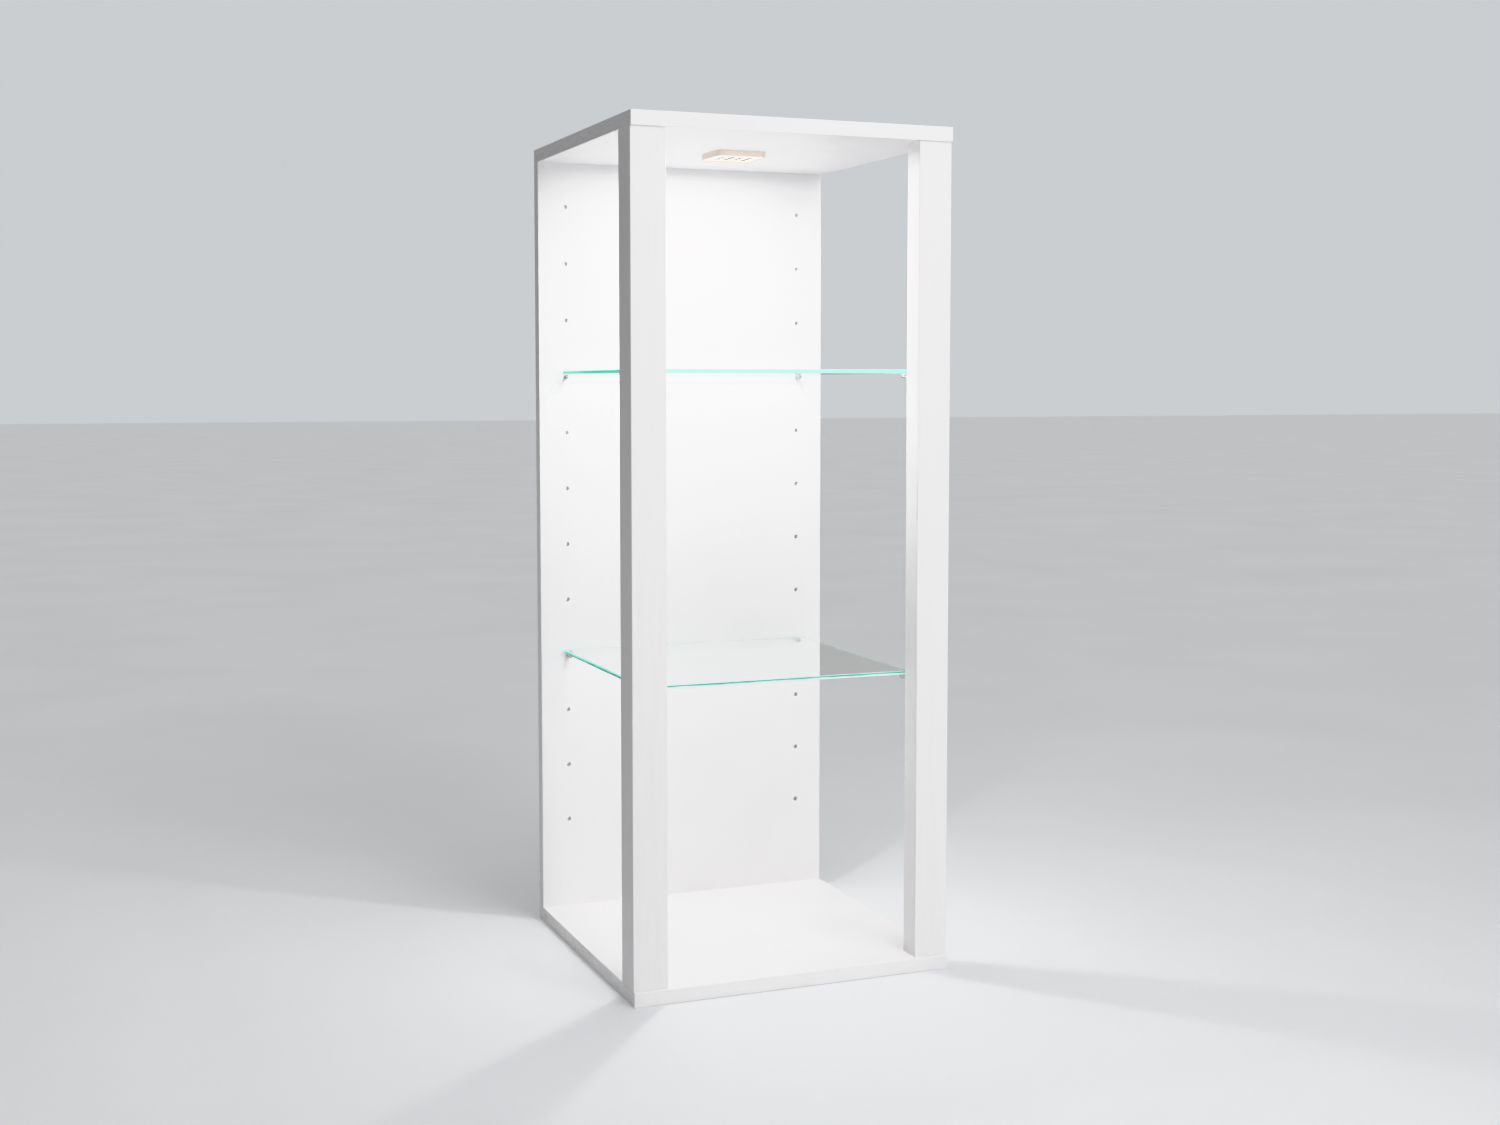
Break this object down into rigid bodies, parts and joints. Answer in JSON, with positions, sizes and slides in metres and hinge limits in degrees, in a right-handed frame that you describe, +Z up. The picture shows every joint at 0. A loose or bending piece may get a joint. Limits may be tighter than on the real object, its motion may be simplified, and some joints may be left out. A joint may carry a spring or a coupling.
{
  "type": "wall mounted showcase",
  "caption": "Open wall showcase: white boards, two front posts, clear glass shelves on pins in drilled columns, square LED lamp under the top.",
  "frame": {"origin": "middle of the face that lies on the wall, half way up and across", "axes": "+X to the right seen from the front, +Y towards the wall, +Z up"},
  "size_m": [0.35, 0.35, 0.885],
  "materials": {
    "board": "white melamine, satin",
    "post_foil": "white foil, satin",
    "edging": "white edging, satin",
    "dowel_wood": "raw beech",
    "plated_steel": "zinc plated",
    "zinc": "cast zinc, matt",
    "white_plastic": "matt",
    "shelf_glass": "polished, edges ground and polished",
    "pin_steel": "nickel plated",
    "clear_sleeve": "clear",
    "lamp_plastic": "warm white, satin",
    "lamp_board": "white solder mask",
    "led": "lit",
    "lamp_lens": "clear, lit"
  },
  "bodies": {
    "cabinet": {"top_panel": "board", "bottom_panel": "board", "back_panel": "board", "left_post": "post_foil", "right_post": "post_foil", "top_front_band": "edging", "top_left_band": "edging", "top_right_band": "edging", "bottom_front_band": "edging", "bottom_left_band": "edging", "bottom_right_band": "edging", "back_left_band": "edging", "back_right_band": "edging", "top_dowels": "dowel_wood", "bottom_dowels": "dowel_wood", "top_cam_bolts": "plated_steel", "bottom_cam_bolts": "plated_steel", "top_cam_locks": "zinc", "bottom_cam_locks": "zinc", "cam_caps": "white_plastic", "left_hanger": "plated_steel", "right_hanger": "plated_steel", "hanger_screws": "plated_steel", "lamp_housing": "lamp_plastic", "lamp_board": "lamp_board", "lamp_leds": "led", "lamp_lens": "lamp_lens", "lamp_screws": "plated_steel", "lead_bushing": "white_plastic"},
    "upper_shelf": {"upper_shelf": "shelf_glass"},
    "lower_shelf": {"lower_shelf": "shelf_glass"},
    "upper_front_left_pin": {"upper_front_left_pin": "pin_steel", "upper_front_left_sleeve": "clear_sleeve"},
    "upper_front_right_pin": {"upper_front_right_pin": "pin_steel", "upper_front_right_sleeve": "clear_sleeve"},
    "upper_rear_left_pin": {"upper_rear_left_pin": "pin_steel", "upper_rear_left_sleeve": "clear_sleeve"},
    "upper_rear_right_pin": {"upper_rear_right_pin": "pin_steel", "upper_rear_right_sleeve": "clear_sleeve"},
    "lower_front_left_pin": {"lower_front_left_pin": "pin_steel", "lower_front_left_sleeve": "clear_sleeve"},
    "lower_front_right_pin": {"lower_front_right_pin": "pin_steel", "lower_front_right_sleeve": "clear_sleeve"},
    "lower_rear_left_pin": {"lower_rear_left_pin": "pin_steel", "lower_rear_left_sleeve": "clear_sleeve"},
    "lower_rear_right_pin": {"lower_rear_right_pin": "pin_steel", "lower_rear_right_sleeve": "clear_sleeve"}
  },
  "joints": [
    {"name": "upper_shelf_slide", "type": "slide", "parent": "cabinet", "child": "upper_shelf", "axis": [1, 0, 0], "range_m": [-0.33, 0.33]},
    {"name": "lower_shelf_slide", "type": "slide", "parent": "cabinet", "child": "lower_shelf", "axis": [1, 0, 0], "range_m": [-0.33, 0.33]},
    {"name": "upper_front_left_pin_pull", "type": "slide", "parent": "cabinet", "child": "upper_front_left_pin", "axis": [0, 1, 0], "range_m": [0, 0.009]},
    {"name": "upper_front_right_pin_pull", "type": "slide", "parent": "cabinet", "child": "upper_front_right_pin", "axis": [0, 1, 0], "range_m": [0, 0.009]},
    {"name": "upper_rear_left_pin_pull", "type": "slide", "parent": "cabinet", "child": "upper_rear_left_pin", "axis": [0, -1, 0], "range_m": [0, 0.009]},
    {"name": "upper_rear_right_pin_pull", "type": "slide", "parent": "cabinet", "child": "upper_rear_right_pin", "axis": [0, -1, 0], "range_m": [0, 0.009]},
    {"name": "lower_front_left_pin_pull", "type": "slide", "parent": "cabinet", "child": "lower_front_left_pin", "axis": [0, 1, 0], "range_m": [0, 0.009]},
    {"name": "lower_front_right_pin_pull", "type": "slide", "parent": "cabinet", "child": "lower_front_right_pin", "axis": [0, 1, 0], "range_m": [0, 0.009]},
    {"name": "lower_rear_left_pin_pull", "type": "slide", "parent": "cabinet", "child": "lower_rear_left_pin", "axis": [0, -1, 0], "range_m": [0, 0.009]},
    {"name": "lower_rear_right_pin_pull", "type": "slide", "parent": "cabinet", "child": "lower_rear_right_pin", "axis": [0, -1, 0], "range_m": [0, 0.009]}
  ]
}
